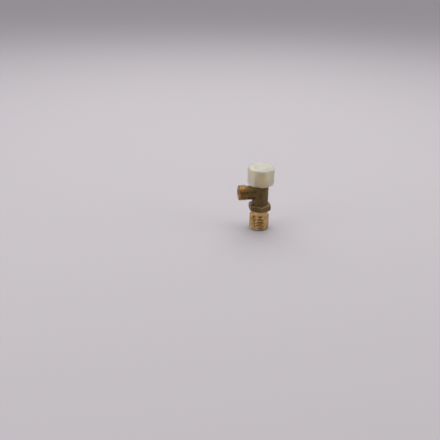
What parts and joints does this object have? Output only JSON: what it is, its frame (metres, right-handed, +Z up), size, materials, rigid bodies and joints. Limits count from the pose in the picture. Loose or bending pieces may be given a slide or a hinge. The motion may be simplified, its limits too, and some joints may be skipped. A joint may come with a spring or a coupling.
{
  "type": "angle stop valve",
  "caption": "Angle stop valve with a male inlet pointing down, a smaller male outlet to the side and a translucent lobed knob that lifts a plunger off its seat through a non-rising spindle.",
  "frame": {"origin": "centre of the inlet's end face, on the valve's axis", "axes": "+Z runs up the valve's axis from the inlet to the knob, the outlet points along -X, and +Y follows by the right-hand rule"},
  "size_m": [0.038, 0.0284, 0.0694],
  "materials": {
    "forged_brass": "raw forged brass, bright where it is machined",
    "brass": "turned brass",
    "fibre": "compressed fibre",
    "rubber": "moulded nitrile rubber",
    "ptfe": "skived white slip plastic",
    "steel": "zinc plated steel",
    "knob_plastic": "milky translucent moulding, satin gloss"
  },
  "bodies": {
    "housing": {"valve_body": "forged_brass", "bonnet": "brass", "bonnet_seal": "fibre"},
    "handwheel": {"knob": "knob_plastic", "knob_insert": "brass", "knob_cap": "knob_plastic", "knob_screw": "steel", "spring_washer": "steel", "screw_washer": "steel", "spindle": "brass", "spindle_oring_lower": "rubber", "spindle_oring_upper": "rubber", "thrust_washer": "ptfe", "clip_washer": "ptfe", "spindle_clip": "steel"},
    "shutter": {"plunger": "brass", "plunger_oring": "rubber", "seat_washer": "rubber", "washer_plate": "brass", "washer_screw": "brass"}
  },
  "joints": [
    {"name": "spindle_turn", "type": "hinge", "parent": "housing", "child": "handwheel", "pos_m": [0, 0, 0.058], "axis": [0, 0, 1], "range_deg": [0, 1080]},
    {"name": "plunger_lift", "type": "slide", "parent": "housing", "child": "shutter", "axis": [0, 0, 1], "range_m": [0, 0.0036]}
  ],
  "couplings": [
    {"joint": "plunger_lift", "follows": "spindle_turn", "m_per_rad": 0.00019098}
  ]
}
